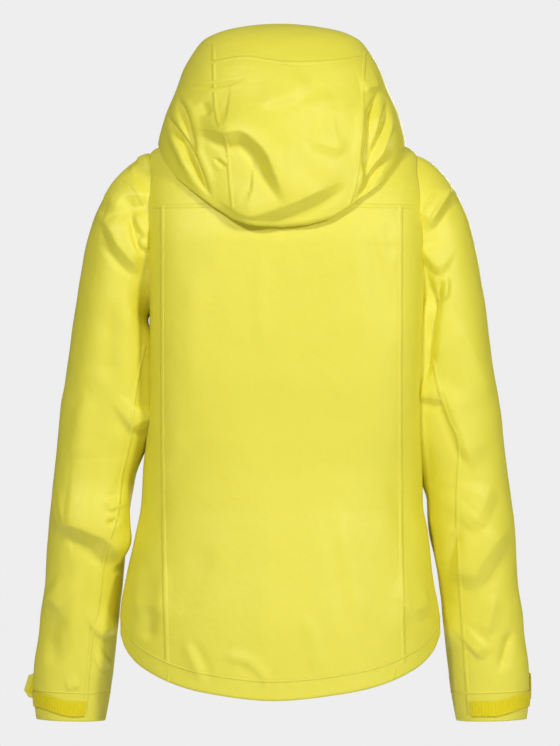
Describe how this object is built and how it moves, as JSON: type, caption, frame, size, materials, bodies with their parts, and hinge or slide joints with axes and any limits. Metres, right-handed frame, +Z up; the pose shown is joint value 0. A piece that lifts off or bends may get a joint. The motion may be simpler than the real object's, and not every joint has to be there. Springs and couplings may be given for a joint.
{
  "type": "hooded hardshell jacket",
  "caption": "Waterproof hooded jacket with full front zip, zipped hand pockets, high collar, dropped curved back hem and cuffs with hook-and-loop tabs",
  "frame": {"origin": "on the body axis at the height of the centre-back neck seam, where the shoulders carry the jacket", "axes": "+Z up along the body, +Y to the wearer's back, +X to the wearer's left; the zip is on the -Y side"},
  "size_m": [0.648, 0.2519, 0.8717],
  "materials": {
    "shell": "matte",
    "lining": "matte",
    "zip_tape": "matte",
    "zip_teeth": "satin",
    "slider_metal": "satin",
    "grip": "matte",
    "loop_strip": "matte",
    "hook_patch": "matte"
  },
  "bodies": {
    "jacket": {"back_panel": "shell", "shoulder_yoke": "shell", "side_panel_left": "shell", "side_panel_right": "shell", "front_panel_left": "shell", "front_panel_right": "shell", "hem_band": "shell", "sleeve_head_left": "shell", "sleeve_head_right": "shell", "sleeve_outer_left": "shell", "sleeve_outer_right": "shell", "sleeve_under_left": "shell", "sleeve_under_right": "shell", "cuff_band_left": "shell", "cuff_band_right": "shell", "collar_shell": "shell", "hood_center_panel": "shell", "hood_side_panel_left": "shell", "hood_side_panel_right": "shell", "hood_brim": "shell", "hood_face_hem_left": "shell", "hood_face_hem_right": "shell", "chin_guard": "shell", "collar_lining": "lining", "wind_flap": "lining", "pocket_bag_left": "lining", "pocket_bag_right": "lining", "hanger_loop": "lining", "neck_patch": "lining", "zip_tape_left": "zip_tape", "zip_tape_right": "zip_tape", "pocket_tape_outer_left": "zip_tape", "pocket_tape_inner_left": "zip_tape", "pocket_tape_outer_right": "zip_tape", "pocket_tape_inner_right": "zip_tape", "zip_teeth_left": "zip_teeth", "zip_teeth_right": "zip_teeth", "pocket_teeth_left": "zip_teeth", "pocket_teeth_right": "zip_teeth", "zip_top_stops": "zip_teeth", "zip_retainer_box": "zip_teeth", "zip_insertion_pin": "zip_teeth", "cuff_loop_strip_left": "loop_strip", "cuff_loop_strip_right": "loop_strip"},
    "front_slider": {"zip_slider": "slider_metal"},
    "front_pull": {"zip_pull": "slider_metal", "zip_pull_grip": "grip"},
    "pocket_slider_left": {"pocket_slider_left": "slider_metal"},
    "pocket_slider_right": {"pocket_slider_right": "slider_metal"},
    "pocket_pull_left": {"pocket_pull_left": "slider_metal"},
    "pocket_pull_right": {"pocket_pull_right": "slider_metal"},
    "cuff_tab_left": {"cuff_tab_left": "shell", "cuff_hook_patch_left": "hook_patch"},
    "cuff_tab_right": {"cuff_tab_right": "shell", "cuff_hook_patch_right": "hook_patch"}
  },
  "joints": [
    {"name": "front_zip_slide", "type": "slide", "parent": "jacket", "child": "front_slider", "axis": [0, 0, 1], "range_m": [-0.6165, 0]},
    {"name": "front_pull_hinge", "type": "hinge", "parent": "front_slider", "child": "front_pull", "pos_m": [0, -0.1091, 0.029], "axis": [-1, 0, 0], "range_deg": [0, 165]},
    {"name": "pocket_zip_slide_left", "type": "slide", "parent": "jacket", "child": "pocket_slider_left", "axis": [-0.142, -0.0627, 0.9879], "range_m": [-0.1435, 0]},
    {"name": "pocket_pull_hinge_left", "type": "hinge", "parent": "pocket_slider_left", "child": "pocket_pull_left", "pos_m": [0.10586, -0.09452, -0.38188], "axis": [-0.9068, -0.3919, -0.1552], "range_deg": [0, 160]},
    {"name": "cuff_tab_hinge_left", "type": "hinge", "parent": "jacket", "child": "cuff_tab_left", "pos_m": [0.258, -0.0806, -0.689], "axis": [0, 0, -1], "range_deg": [0, 150]},
    {"name": "pocket_zip_slide_right", "type": "slide", "parent": "jacket", "child": "pocket_slider_right", "axis": [0.142, -0.0627, 0.9879], "range_m": [-0.1435, 0]},
    {"name": "pocket_pull_hinge_right", "type": "hinge", "parent": "pocket_slider_right", "child": "pocket_pull_right", "pos_m": [-0.10586, -0.09452, -0.38188], "axis": [-0.9068, 0.3919, 0.1552], "range_deg": [0, 160]},
    {"name": "cuff_tab_hinge_right", "type": "hinge", "parent": "jacket", "child": "cuff_tab_right", "pos_m": [-0.258, -0.0806, -0.689], "axis": [0, 0, 1], "range_deg": [0, 150]}
  ]
}
